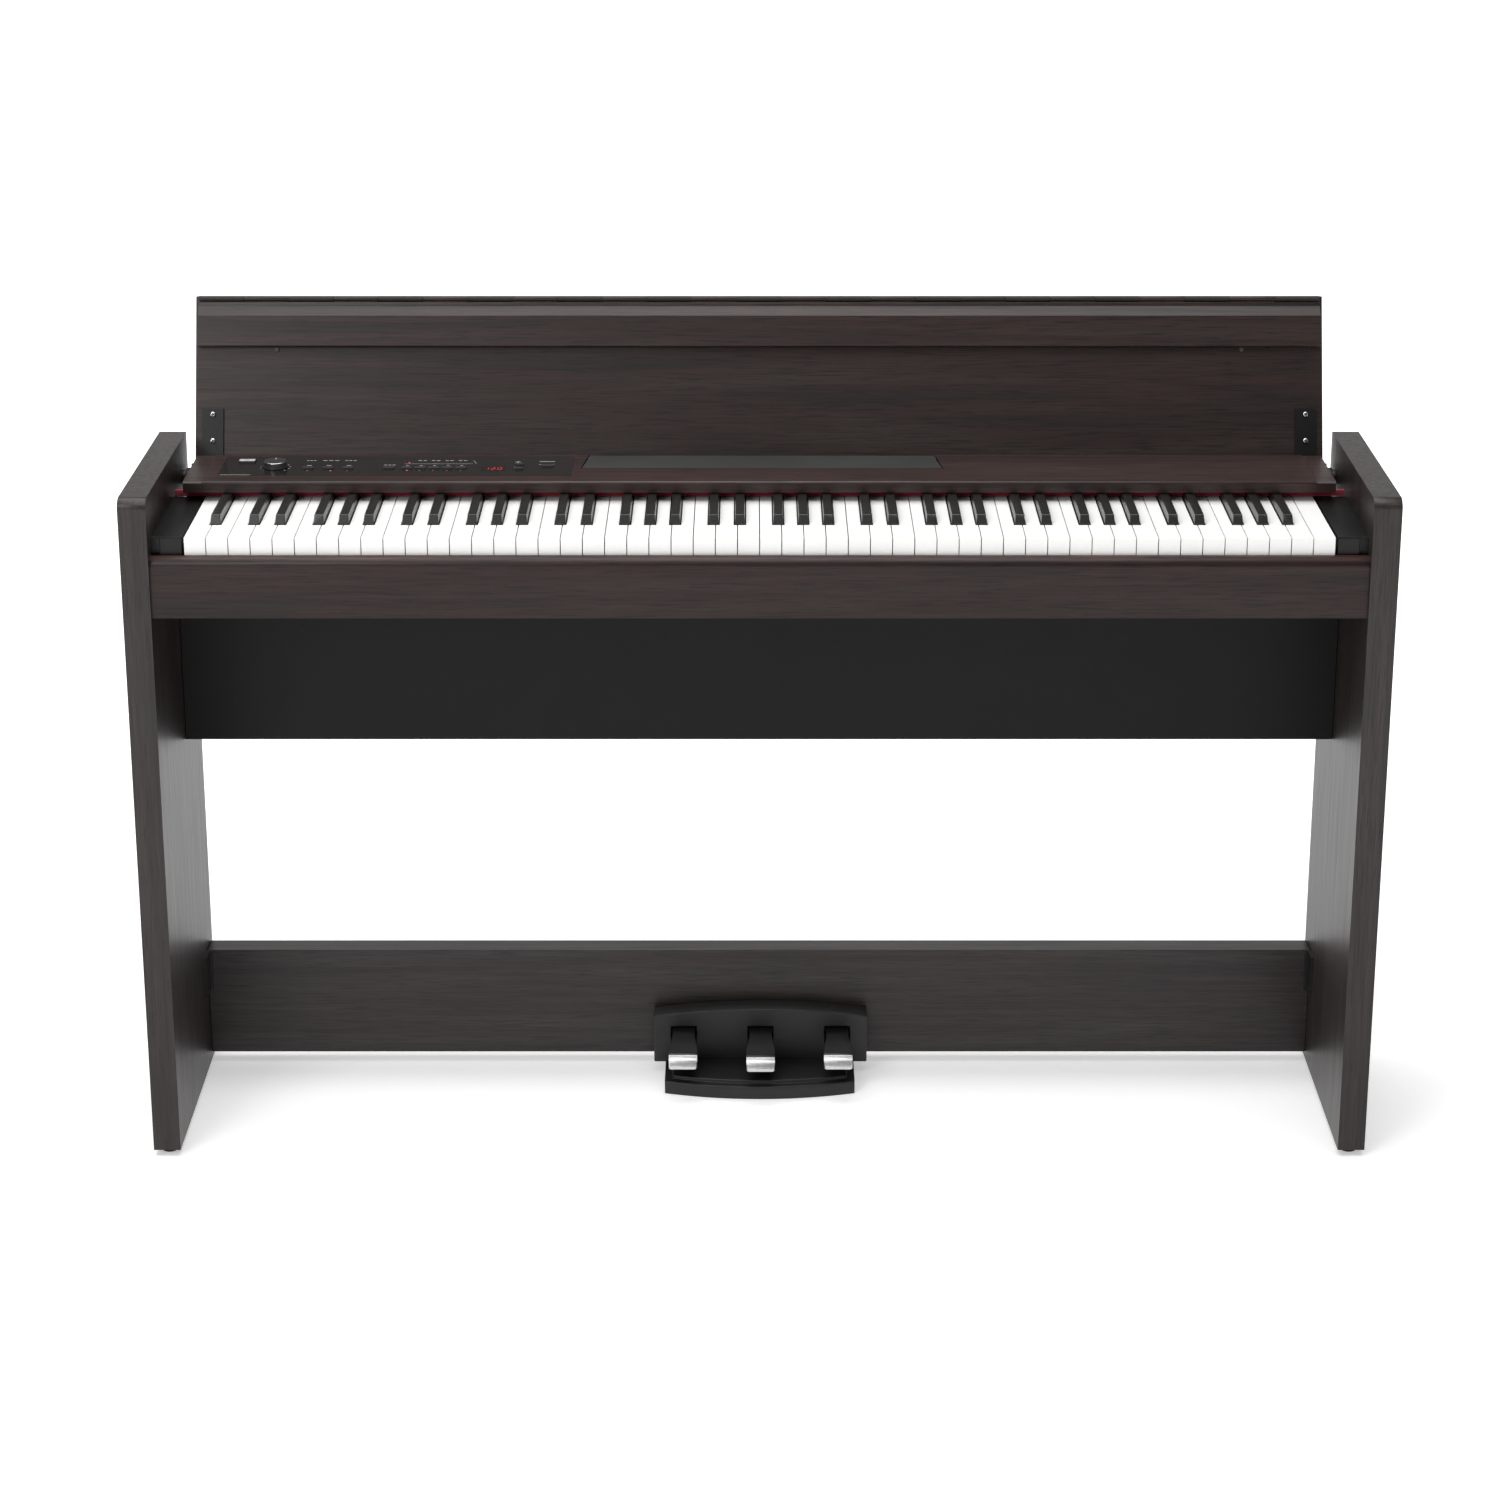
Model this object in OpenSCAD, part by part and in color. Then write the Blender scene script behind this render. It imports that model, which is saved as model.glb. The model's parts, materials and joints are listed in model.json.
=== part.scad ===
// Console digital piano on its own stand: two side panels, keyboard, folding lid, music rest
// and a three-pedal unit. Every outline below is in cabinet coordinates: X to the right,
// Y back from the front edge of the side panels, Z up from the floor. cabinet() then moves
// them so that the whole piano, lid open, is centred on the origin.

/* [Cabinet] */
// Width across both side panels
cabinet_w = 1355; // [1350:1:1375]
// Depth of a side panel
side_depth = 268; // [266:1:290]
// Thickness of a side panel
side_t = 30; // [24:1:32]
// Height of the side panels and of the closed lid
side_top = 768; // [767:1:770]
// Radius of the side panels' top front corner
side_corner_r = 12; // [4:1:30]
// Height of the glides under the side panels
foot_h = 8; // [6:1:9]
// Front face of the key slip
slip_y = 4; // [2:1:4]
// Thickness of the key slip
slip_t = 12; // [8:1:12]
// Lower edge of the key slip and of the keybed
keybed_bottom = 635; // [632:1:636]
// Top of the key slip
slip_top = 702; // [696:1:702]
// Radius of the key slip's top front edge
slip_r = 10; // [2:1:11]
// Thickness of the keybed board
keybed_t = 16; // [12:1:16]
// Front face of the modesty panel
modesty_y = 165; // [150:1:175]
// Lower edge of the modesty panel
modesty_bottom = 436; // [380:1:480]
// Front face of the pedal board between the side panels
pedal_board_y = 230; // [230:1:240]
// Top edge of the pedal board
pedal_board_top = 147; // [130:1:160]
// Thickness of the modesty panel
modesty_t = 12; // [10:1:15]
// Thickness of the pedal board
pedal_board_t = 28; // [18:1:30]

/* [Keyboard] */
// Distance from one white key to the next
key_pitch = 23.55; // [23.45:0.05:23.6]
// Gap between two white keys
key_gap = 0.95; // [0.8:0.05:1.2]
// Top of the white keys
white_top = 720.5; // [720:0.1:720.6]
// Front edge of the white keys
key_front = 18; // [18:0.5:20]
// Height of a white key's front face
white_lip_h = 20; // [17:1:21]
// Front end of the black keys
black_front = 66; // [64:1:70]
// Height of the black keys above the white ones
black_rise = 10; // [8:0.5:10]
// Width of a black key at its foot
black_w = 11; // [10:0.25:11]
// Width of a black key at its top
black_top_w = 9.5; // [8.5:0.25:10]
// Radius of the steel shaft that all the keys turn on
key_shaft_r = 2.5; // [2:0.1:3]

/* [Control panel] */
// Front edge of the control panel
panel_front = 150; // [148:1:160]
// Back edge of the control panel
panel_rear = 257.5; // [255.5:0.1:257.6]
// Upper face of the control panel
panel_top = 743.8; // [743:0.1:744]
// Thickness of the control panel board
panel_t = 11; // [10:0.5:11]
// Diameter of the volume knob
knob_d = 27; // [22:1:30]
// Height of the volume knob above the panel
knob_h = 8; // [5:0.5:9]
// Travel of a push button
button_travel = 1.5; // [0.8:0.1:1.5]

/* [Lid] */
// Angle of the open lid behind the vertical
lid_lean = 18.45; // [14:0.5:20]
// Lid pivot's distance behind the side panels' front edge
pivot_y = 234.2; // [233:0.1:235]
// Distance from the pivot to the lid's inner face
lid_offset = 31; // [30.5:0.1:32]
// Thickness of the lid board
lid_t = 12; // [10:0.5:13]
// Gap between the lid's end and the side panel
lid_side_gap = 8.5; // [8:0.25:10]
// Reach of the lid from the pivot's foot to its free edge
lid_reach = 206; // [204:0.5:207]
// Overhang of the lid behind the pivot's foot
lid_heel = 27.7; // [24:0.5:28]
// Length of the folding flap, from its hinge pin to its free edge
flap_len = 55; // [50:0.5:55.5]
// Thickness of the folding flap
flap_t = 10; // [8:0.5:10]

/* [Music rest] */
// Width of the music rest at its free front edge
rest_w = 401; // [380:1:420]
// Width of the music rest at its hinge
rest_top_w = 387; // [360:1:400]
// Depth of the folded music rest
rest_depth = 50; // [44:1:50]
// Thickness of the music rest
rest_t = 5; // [4:0.5:5]

/* [Pedals] */
// Distance between two pedals
pedal_pitch = 90; // [84:1:92]
// Sideways shift of the pedal unit from the middle of the piano
pedal_x = 2; // [-5:1:5]
// Width of the pedal housing
housing_w = 250; // [240:1:260]
// Width of the pedal base
base_w = 221; // [205:1:225]
// Front end of the outer pedals
pedal_tip_y = 144; // [140:1:148]
// Width of a pedal at its tip
pedal_w = 33; // [28:1:36]

/* [Hidden] */
$fn = 64;

eps = 0.01;
running_fit = 0.05;        // radial clearance of a pin in its bore
inner_w = cabinet_w - 2 * side_t;
inner_x = inner_w / 2;
key_count = 88;
white_count = 52;
keys_x = white_count * key_pitch / 2;

// lid: its closed top is level with the side panels' tops
lid_w = inner_w - 2 * lid_side_gap;
pivot_z = side_top - lid_t - lid_offset;
depth_open = pivot_y + lid_reach * sin(lid_lean) + (lid_offset + lid_t) * cos(lid_lean);
lid_pin_r = 4;
flap_gap = 0.3;            // between the folded flap and the lid's face
flap_pin_u = lid_reach - 3;
flap_pin_n = lid_offset - flap_gap - 3;
flap_pin_r = 1.5;
knuckle_r = 3;
knuckle_count = 25;
flap_x = lid_w / 2 - 3;

// keyboard
keybed_top = keybed_bottom + keybed_t;
frame_t = 3;
frame_top = keybed_top + frame_t;
key_pivot_y = 238;
key_pivot_z = 701;
lever_w = 8;
lever_h = 13;
lever_z = 694.5;
lever_end = 246;
white_t = 14.5;            // height of a white key's body behind its lip
white_rear = 180;
black_rear = 168;
black_side_gap = 1.2;
felt_y = 169.5;
felt_t = 2.5;
panel_wall_y = felt_y + felt_t;
semitone_white = [0, 0, 1, 1, 2, 3, 3, 4, 4, 5, 5, 6];

// control panel furniture: the overlay's ends, and the middle of each control
overlay_x = [-599, -208];
overlay_y = [173, 250];
overlay_t = 2;
overlay_top = panel_top + 0.2;
knob_pos = [-539, 206];
knob_shaft_r = 3;
power_pos = [-573.5, 229];
power_size = [19, 14];
button_size = [12, 6];
button_proud = 1.8;
button_y = 201;
touch_x = -502;
effect_pitch = 22;
song_x = -412.5;
sound_x = -392.5;
sound_pitch = 15.1;
display_x = -296;
display_size = [26, 14];
value_x = -267.5;
value_ys = [215, 199];
record_x = -236.5;

// music rest, folded into a recess that is open at the back
rest_y = 203.5;
rest_recess = rest_t + 1.3;
rest_pin_r = 1.5;
rest_pin_z = panel_top - rest_t / 2;
rest_pin_y = rest_y + rest_depth - rest_t / 2;
rest_x = 3;
rest_clear = 1.2;

// hinge housing: it closes the panel's end and carries the lid's pivot in a round boss
housing_x = [keys_x + 0.2, 633.5];
housing_rear = 255;
boss_r = 8;
bracket_t = 3;
bracket_eye_r = 10;
bracket_u = [12, 78];
bracket_arm_u = [-9, 11];
bracket_screw_u = [41.5, 71.5];
bracket_leaf_w = 24;
bracket_leaf_inset = 8;
bracket_leaf_t = 2.5;

// pedal unit
pedal_gap_z = 16;
housing_d = 26;
housing_top = 83;
housing_sag = 9;
housing_t = 3;
housing_y = pedal_board_y - housing_d;
pedal_pivot = [222, 54];
pedal_shaft_r = 4;
pedal_eye_r = 9;
pedal_tip_r = 15;
pedal_neck_w = 26;
base_bulge = 15;
base_t = 16;
platform_h = 20;
platform_inset = 9;

// moves cabinet coordinates to the piano's own origin
module cabinet() {
    translate([0, -depth_open / 2, 0]) children();
}

// the open lid's own axes: Y out of its inner face, Z up along it, origin at the pivot
module lid_axes() {
    cabinet() translate([0, pivot_y, pivot_z]) rotate([-lid_lean, 0, 0]) children();
}

// a box from its two ranges and a height range
module block(x, y, z) {
    translate([x[0], y[0], z[0]]) cube([x[1] - x[0], y[1] - y[0], z[1] - z[0]]);
}

// a Y-Z outline drawn out along X
module bar_x(x0, x1) {
    translate([x0, 0, 0]) rotate([90, 0, 90]) linear_extrude(x1 - x0) children();
}

// a round bar along X
module rod_x(x0, x1, y, z, r) {
    translate([x0, y, z]) rotate([0, 90, 0]) cylinder(h = x1 - x0, r = r);
}

// the same piece on the left and on the right
module both_sides() {
    children();
    mirror([1, 0, 0]) children();
}

module rounded_plate(size, r, h) {
    linear_extrude(h) {
        square([size[0] - 2 * r, size[1]], center = true);
        square([size[0], size[1] - 2 * r], center = true);
        for (sx = [-1, 1], sy = [-1, 1])
            translate([sx * (size[0] / 2 - r), sy * (size[1] / 2 - r)]) circle(r);
    }
}

// ---- cabinet ----

module side_panel(x0) {
    cabinet() bar_x(x0, x0 + side_t) {
        translate([0, foot_h]) square([side_depth, side_top - foot_h - side_corner_r]);
        translate([side_corner_r, foot_h]) square([side_depth - side_corner_r, side_top - foot_h]);
        translate([side_corner_r, side_top - side_corner_r]) circle(side_corner_r);
    }
}

module side_panel_left() {
    color([0.16, 0.12, 0.11]) side_panel(-cabinet_w / 2);
}

module side_panel_right() {
    color([0.16, 0.12, 0.11]) side_panel(inner_x);
}

module key_slip() {
    color([0.17, 0.12, 0.11]) cabinet() bar_x(-inner_x, inner_x) {
        translate([slip_y, keybed_bottom]) square([slip_t, slip_top - keybed_bottom - slip_r]);
        translate([slip_y + slip_r, keybed_bottom])
            square([slip_t - slip_r, slip_top - keybed_bottom]);
        intersection() {
            translate([slip_y + slip_r, slip_top - slip_r]) circle(slip_r);
            translate([slip_y, slip_top - slip_r]) square([slip_r, slip_r]);
        }
    }
}

module keybed() {
    color([0.35, 0.28, 0.2]) cabinet()
        block([-inner_x, inner_x], [slip_y + slip_t, 248], [keybed_bottom, keybed_top]);
}

module modesty_panel() {
    color([0.08, 0.08, 0.08]) cabinet()
        block([-inner_x, inner_x], [modesty_y, modesty_y + modesty_t], [modesty_bottom, keybed_bottom]);
}

module pedal_board() {
    color([0.17, 0.13, 0.12]) cabinet()
        block([-inner_x, inner_x], [pedal_board_y, pedal_board_y + pedal_board_t], [pedal_gap_z, pedal_board_top]);
}

module feet() {
    foot_r = 9;
    inset = 20;
    color([0.05, 0.05, 0.05]) cabinet() both_sides()
        for (y = [inset, side_depth - inset])
            translate([cabinet_w / 2 - side_t / 2, y, 0]) {
                cylinder(h = foot_h - 2, r = foot_r);
                translate([0, 0, foot_h - 2]) cylinder(h = 2, r = foot_r - 3);
            }
}

// one angle bracket with its two screws, in the corner between a side panel and a board's face
module corner_bracket(y, z, width, leg) {
    t = 2;
    head_r = 4;
    head_t = 1.6;
    block([inner_x - leg, inner_x], [y, y + t], [z, z + width]);
    block([inner_x - t, inner_x], [y, y + leg], [z, z + width]);
    translate([inner_x - leg * 0.6, y + t, z + width / 2]) rotate([-90, 0, 0]) cylinder(h = head_t, r = head_r);
    rod_x(inner_x - t - head_t, inner_x - t, y + leg * 0.6, z + width / 2, head_r);
}

module corner_brackets() {
    modesty_back = modesty_y + modesty_t;
    color([0.1, 0.1, 0.1]) cabinet() both_sides() {
        for (z = [modesty_bottom + 20, modesty_bottom + 110])
            corner_bracket(modesty_back, z, 24, 30);
        block([inner_x - 3, inner_x], [pedal_board_y - 22, pedal_board_y], [pedal_board_top - 50, pedal_board_top]);
        block([inner_x - 6, inner_x - 2], [pedal_board_y - 2, pedal_board_y],
            [pedal_board_top - 50, pedal_board_top]);
    }
}

module rear_cover() {
    color([0.1, 0.1, 0.1]) cabinet()
        block([-keys_x, keys_x], [248, 251], [keybed_bottom, panel_top - panel_t]);
}

// ---- keyboard ----

function is_black(n) = n == 1 || n == 3 || n == 6 || n == 8 || n == 10;

// middle of a semitone's slot behind the white keys' fronts, from the left edge of C
function slot_x(n) = n < 5 ? (n + 0.5) * 3 * key_pitch / 5
                           : 3 * key_pitch + (n - 4.5) * 4 * key_pitch / 7;

// key k counts up from the lowest A; the piano starts 9 semitones above a C
function semitone(k) = (k + 9) % 12;
function octave_x(k) = (floor((k + 9) / 12) * 7 - white_count / 2 - 5) * key_pitch;

module key_lever(x, y0) {
    difference() {
        block([x - lever_w / 2, x + lever_w / 2], [y0, lever_end], [lever_z, lever_z + lever_h]);
        rod_x(x - lever_w, x + lever_w, key_pivot_y, key_pivot_z, key_shaft_r + running_fit);
    }
}

module white_key(k) {
    n = semitone(k);
    x0 = octave_x(k);
    left = x0 + semitone_white[n] * key_pitch + key_gap / 2;
    right = left + key_pitch - key_gap;
    half_slot = black_w / 2 + black_side_gap;
    tail_left = k > 0 && is_black(n - 1) ? x0 + slot_x(n - 1) + half_slot : left;
    tail_right = k < key_count - 1 && is_black(n + 1) ? x0 + slot_x(n + 1) - half_slot : right;
    notch_y = black_front - 1.5;
    block([left, right], [key_front, notch_y], [white_top - white_t, white_top]);
    block([left, right], [key_front, key_front + 4], [white_top - white_lip_h, white_top]);
    block([tail_left, tail_right], [key_front + 4, white_rear], [white_top - white_t, white_top]);
    key_lever(x0 + slot_x(n), black_front);
}

module black_key(k) {
    x = octave_x(k) + slot_x(semitone(k));
    foot_z = white_top - white_t;
    top_z = white_top + black_rise;
    shoulder_z = white_top + 1;
    slope = 4.5;
    fall = 0.6;
    intersection() {
        translate([x, black_rear, 0]) rotate([90, 0, 0]) linear_extrude(black_rear - black_front)
            polygon([
                [-black_w / 2, foot_z], [black_w / 2, foot_z], [black_w / 2, shoulder_z],
                [black_top_w / 2, top_z], [-black_top_w / 2, top_z], [-black_w / 2, shoulder_z]
            ]);
        bar_x(x - black_w, x + black_w)
            polygon([
                [black_front, foot_z], [black_front, shoulder_z], [black_front + slope, top_z],
                [black_rear, top_z - fall], [black_rear, foot_z]
            ]);
    }
    key_lever(x, black_front);
}

// every key of one note name
module keys_of(n) {
    tint = is_black(n) ? [0.04, 0.04, 0.04] : [0.95, 0.95, 0.93];
    color(tint) cabinet()
        for (k = [0 : key_count - 1])
            if (semitone(k) == n) {
                if (is_black(n)) black_key(k);
                else white_key(k);
            }
}

module keys_c() { keys_of(0); }
module keys_c_sharp() { keys_of(1); }
module keys_d() { keys_of(2); }
module keys_d_sharp() { keys_of(3); }
module keys_e() { keys_of(4); }
module keys_f() { keys_of(5); }
module keys_f_sharp() { keys_of(6); }
module keys_g() { keys_of(7); }
module keys_g_sharp() { keys_of(8); }
module keys_a() { keys_of(9); }
module keys_a_sharp() { keys_of(10); }
module keys_b() { keys_of(11); }

// pressed steel frame: floor, stop rail with its felt, and bored pivot plates at each octave
module key_frame() {
    rail_y = [38, 62];
    rail_top = 692;
    felt_top = 696.8;
    sheet = 2;
    plate_t = 3;
    color([0.45, 0.46, 0.48]) cabinet() {
        block([-keys_x, keys_x], [24, 247], [keybed_top, frame_top]);
        for (y = rail_y)
            block([-keys_x, keys_x], [y - sheet / 2, y + sheet / 2], [frame_top, rail_top]);
        block([-keys_x, keys_x], [rail_y[0] - sheet / 2, rail_y[1] + sheet / 2], [rail_top - sheet, rail_top]);
        block([-keys_x, keys_x], [rail_y[0] + 2, rail_y[1] - 2], [rail_top, felt_top]);
        difference() {
            for (octave = [1 : 8]) {
                x = (octave * 7 - white_count / 2 - 5) * key_pitch + 0.15;
                block([x - plate_t / 2, x + plate_t / 2], [229, lever_end], [frame_top, lever_z + lever_h]);
            }
            rod_x(-keys_x, keys_x, key_pivot_y, key_pivot_z, key_shaft_r + running_fit);
        }
    }
}

module key_pivot_shaft() {
    color([0.75, 0.75, 0.77]) cabinet()
        rod_x(1 - keys_x, keys_x - 1, key_pivot_y, key_pivot_z, key_shaft_r);
}

// one return spring under each key, drawn as its outer cylinder
module key_springs() {
    spring_r = 2;
    spring_y = 222;
    color([0.6, 0.6, 0.62]) cabinet()
        for (k = [0 : key_count - 1])
            translate([octave_x(k) + slot_x(semitone(k)), spring_y, frame_top])
                cylinder(h = lever_z - 1.2 - frame_top, r = spring_r);
}

// black blocks that fill the ends of the keyboard; each has a shallow step in its front face
module cheek_blocks() {
    step_x = 10;
    step_y = 3;
    color([0.06, 0.06, 0.065]) cabinet() both_sides() {
        block([keys_x + 2.2, inner_x], [key_front + step_y, panel_wall_y], [keybed_top, white_top]);
        block([keys_x + 2.2, inner_x - step_x], [key_front, key_front + step_y], [keybed_top, white_top - 1]);
    }
}

module name_felt() {
    color([0.45, 0.04, 0.06]) cabinet()
        block([1.5 - inner_x, inner_x - 1.5], [felt_y, panel_wall_y], [white_top + 0.7, panel_top - panel_t - 4]);
}

// ---- control panel ----

// places a control on the panel
module on_panel(x, y, z) {
    cabinet() translate([x, y, z]) children();
}

sound_xs = [for (i = [0 : 4]) sound_x + i * sound_pitch];
well_depth = 5.5;
button_clear = 0.3;

// every push button's place and size
button_places = concat(
    [for (i = [0 : 2]) [touch_x + i * effect_pitch, button_y, button_size]],
    [[song_x, button_y, button_size]],
    [for (x = sound_xs) [x, button_y, button_size]],
    [for (y = value_ys) [value_x, y, [9, 6]]],
    [[record_x, button_y + 8, [14, 6]]],
    [[power_pos[0], power_pos[1], power_size]]
);

module button_wells(z, h) {
    for (b = button_places)
        translate([b[0], b[1], z])
            rounded_plate([b[2][0] + 2 * button_clear, b[2][1] + 2 * button_clear], 1.5, h);
    translate([knob_pos[0], knob_pos[1], z]) cylinder(h = h, r = knob_shaft_r + running_fit);
}

module overlay_outline(grow) {
    w = overlay_x[1] - overlay_x[0] + 2 * grow;
    d = overlay_y[1] - overlay_y[0] + 2 * grow;
    translate([(overlay_x[0] + overlay_x[1]) / 2, (overlay_y[0] + overlay_y[1]) / 2, overlay_top - overlay_t])
        rounded_plate([w, d], 3, overlay_t);
}

module rest_outline(grow, deep) {
    translate([rest_x, 0]) polygon([
        [-rest_w / 2 - grow, rest_y - grow], [rest_w / 2 + grow, rest_y - grow],
        [rest_top_w / 2 + grow, rest_y + rest_depth + deep], [-rest_top_w / 2 - grow, rest_y + rest_depth + deep]
    ]);
}

module control_panel() {
    nose = 2.5;
    lip_z = panel_top - panel_t - 1.5;
    color([0.17, 0.13, 0.12]) cabinet() {
        difference() {
            bar_x(-keys_x, keys_x) {
                translate([panel_front + nose, panel_top - panel_t])
                    square([panel_rear - panel_front - nose, panel_t]);
                translate([panel_front, lip_z]) square([15, panel_top - lip_z - nose]);
                translate([panel_front + nose, panel_top - nose]) circle(nose);
            }
            overlay_outline(0.1);
            button_wells(panel_top - overlay_t - well_depth, 20);
            translate([0, 0, panel_top - rest_recess]) linear_extrude(20) rest_outline(rest_clear, 8);
        }
        block([-keys_x, keys_x], [panel_wall_y, panel_wall_y + 3], [white_top + 0.7, panel_top - panel_t + eps]);
        for (side = [-1, 1])
            translate([rest_x + side * (rest_top_w / 2 - 4), rest_pin_y, rest_pin_z])
                rotate([0, side * 90, 0]) cylinder(h = 9, r = rest_pin_r);
    }
}

module control_overlay() {
    color([0.03, 0.03, 0.035]) cabinet()
        difference() {
            overlay_outline(0);
            button_wells(overlay_top - overlay_t - 1, overlay_t + 2);
            translate([display_x, button_y - 1, overlay_top - 1])
                rounded_plate([display_size[0] + 0.4, display_size[1] + 0.4], 1.5, 2);
        }
}

module display_window() {
    color([0.2, 0.02, 0.02]) on_panel(display_x, button_y - 1, overlay_top - 1)
        rounded_plate(display_size, 1.5, 1.1);
}

module volume_knob() {
    skirt_h = 2;
    bevel = 1;
    color([0.07, 0.07, 0.075]) on_panel(knob_pos[0], knob_pos[1], overlay_top) {
        translate([0, 0, 0.4]) cylinder(h = skirt_h, r = knob_d / 2);
        difference() {
            translate([0, 0, skirt_h]) cylinder(h = knob_h - skirt_h - bevel, r = knob_d / 2 - 1);
            translate([-0.5, knob_d / 2 - 2, skirt_h + 1]) cube([1, 5, knob_h]);
        }
        translate([0, 0, knob_h - bevel]) cylinder(h = bevel, r1 = knob_d / 2 - 1, r2 = knob_d / 2 - 1 - bevel);
        translate([0, 0, -well_depth]) cylinder(h = well_depth + 1, r = knob_shaft_r);
    }
}

// a push button: its cap stands proud of the overlay and its body reaches down into the well
module push_button(place, size) {
    body_h = well_depth - button_travel - 0.3;
    on_panel(place[0], place[1], overlay_top - body_h)
        rounded_plate(size, 1.2, body_h + button_proud);
}

module power_button() {
    color([0.08, 0.08, 0.08]) push_button(power_pos, power_size);
}

module touch_button() {
    color([0.1, 0.1, 0.1]) push_button([touch_x, button_y], button_size);
}

module reverb_button() {
    color([0.1, 0.1, 0.1]) push_button([touch_x + effect_pitch, button_y], button_size);
}

module metronome_button() {
    color([0.1, 0.1, 0.1]) push_button([touch_x + 2 * effect_pitch, button_y], button_size);
}

module song_button() {
    color([0.1, 0.1, 0.1]) push_button([song_x, button_y], button_size);
}

module sound_button(i) {
    color([0.1, 0.1, 0.1]) push_button([sound_xs[i], button_y], button_size);
}

module sound_button_1() { sound_button(0); }
module sound_button_2() { sound_button(1); }
module sound_button_3() { sound_button(2); }
module sound_button_4() { sound_button(3); }
module sound_button_5() { sound_button(4); }

module value_up_button() {
    color([0.1, 0.1, 0.1]) push_button([value_x, value_ys[0]], [9, 6]);
}

module value_down_button() {
    color([0.1, 0.1, 0.1]) push_button([value_x, value_ys[1]], [9, 6]);
}

module record_button() {
    color([0.1, 0.1, 0.1]) push_button([record_x, button_y + 8], [14, 6]);
}

// ---- music rest ----

module music_rest() {
    color([0.12, 0.13, 0.13]) cabinet()
        difference() {
            translate([0, 0, panel_top - rest_t]) linear_extrude(rest_t) rest_outline(0, 0);
            for (side = [-1, 1])
                translate([rest_x + side * (rest_top_w / 2 - 5), rest_pin_y, rest_pin_z])
                    rotate([0, side * 90, 0]) cylinder(h = 20, r = rest_pin_r + running_fit);
        }
}

// ---- lid ----

module lid() {
    color([0.16, 0.12, 0.11]) lid_axes()
        block([-lid_w / 2, lid_w / 2], [lid_offset, lid_offset + lid_t], [-lid_heel, lid_reach]);
}

function knuckle_x(i) = -lid_w / 2 + 4 + i * (lid_w - 8) / knuckle_count;

// the flap lies folded on the lid's face: thick at its free edge, bevelled towards its hinge
module lid_flap() {
    back = lid_offset - flap_gap;
    face = back - flap_t;
    thin = back - 3.5;
    free = flap_pin_u - flap_len;
    color([0.17, 0.12, 0.11]) lid_axes() difference() {
        union() {
            bar_x(-flap_x, flap_x)
                polygon([
                    [back, free], [face + 1, free], [face, free + 1], [face, free + 35],
                    [thin, free + 46.5], [thin, flap_pin_u - 4], [back, flap_pin_u - 4]
                ]);
            for (i = [1 : 2 : knuckle_count - 1]) {
                rod_x(knuckle_x(i) + 0.3, knuckle_x(i + 1) - 0.3, flap_pin_n, flap_pin_u, knuckle_r);
                block([knuckle_x(i) + 0.3, knuckle_x(i + 1) - 0.3], [flap_pin_n, back], [flap_pin_u - 4.5, flap_pin_u]);
            }
        }
        rod_x(-flap_x, flap_x, flap_pin_n, flap_pin_u, flap_pin_r + running_fit);
    }
}

// the lid's half of the flap hinge: bored knuckles on a strip, and the pin through all of them
module flap_hinge() {
    color([0.2, 0.2, 0.2]) lid_axes() {
        difference() {
            for (i = [0 : 2 : knuckle_count - 1]) {
                rod_x(knuckle_x(i), knuckle_x(i + 1), flap_pin_n, flap_pin_u, knuckle_r);
                block([knuckle_x(i), knuckle_x(i + 1)], [flap_pin_n, lid_offset], [flap_pin_u, lid_reach]);
            }
            rod_x(-flap_x, flap_x, flap_pin_n, flap_pin_u, flap_pin_r + running_fit);
        }
        rod_x(knuckle_x(0), knuckle_x(knuckle_count), flap_pin_n, flap_pin_u, flap_pin_r);
    }
}

// a leaf on the lid's face; its foot is bent round the lid's end into an arm that turns on the pin
module lid_hinge_brackets() {
    plate_x = inner_x - 4.5;
    leaf_x = lid_w / 2 - bracket_leaf_inset - bracket_leaf_w;
    leaf_end = leaf_x + bracket_leaf_w;
    leaf_n = lid_offset - bracket_leaf_t;
    color([0.05, 0.05, 0.05]) lid_axes() both_sides() {
        difference() {
            union() {
                block([leaf_x, leaf_end], [leaf_n, lid_offset], bracket_u);
                block([leaf_end - 5, plate_x], [leaf_n, lid_offset], [bracket_arm_u[0], bracket_u[0] + 4]);
                bar_x(plate_x - bracket_t, plate_x) {
                    circle(bracket_eye_r);
                    polygon([
                        [0, -bracket_eye_r], [lid_offset + 2, bracket_arm_u[0]],
                        [lid_offset + 2, bracket_arm_u[1]], [0, bracket_eye_r]
                    ]);
                }
            }
            rod_x(plate_x - 10, plate_x + 10, 0, 0, lid_pin_r + running_fit);
        }
        for (u = bracket_screw_u)
            translate([leaf_x + bracket_leaf_w / 2, leaf_n, u]) rotate([90, 0, 0]) cylinder(h = 1.2, r = 3.2);
    }
}

module lid_bumpers() {
    bumper_x = 547;
    color([0.5, 0.5, 0.48]) lid_axes() both_sides()
        translate([bumper_x, lid_offset, flap_pin_u - flap_len - 2.8]) rotate([90, 0, 0]) cylinder(h = 2.5, r = 2.4);
}

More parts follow.
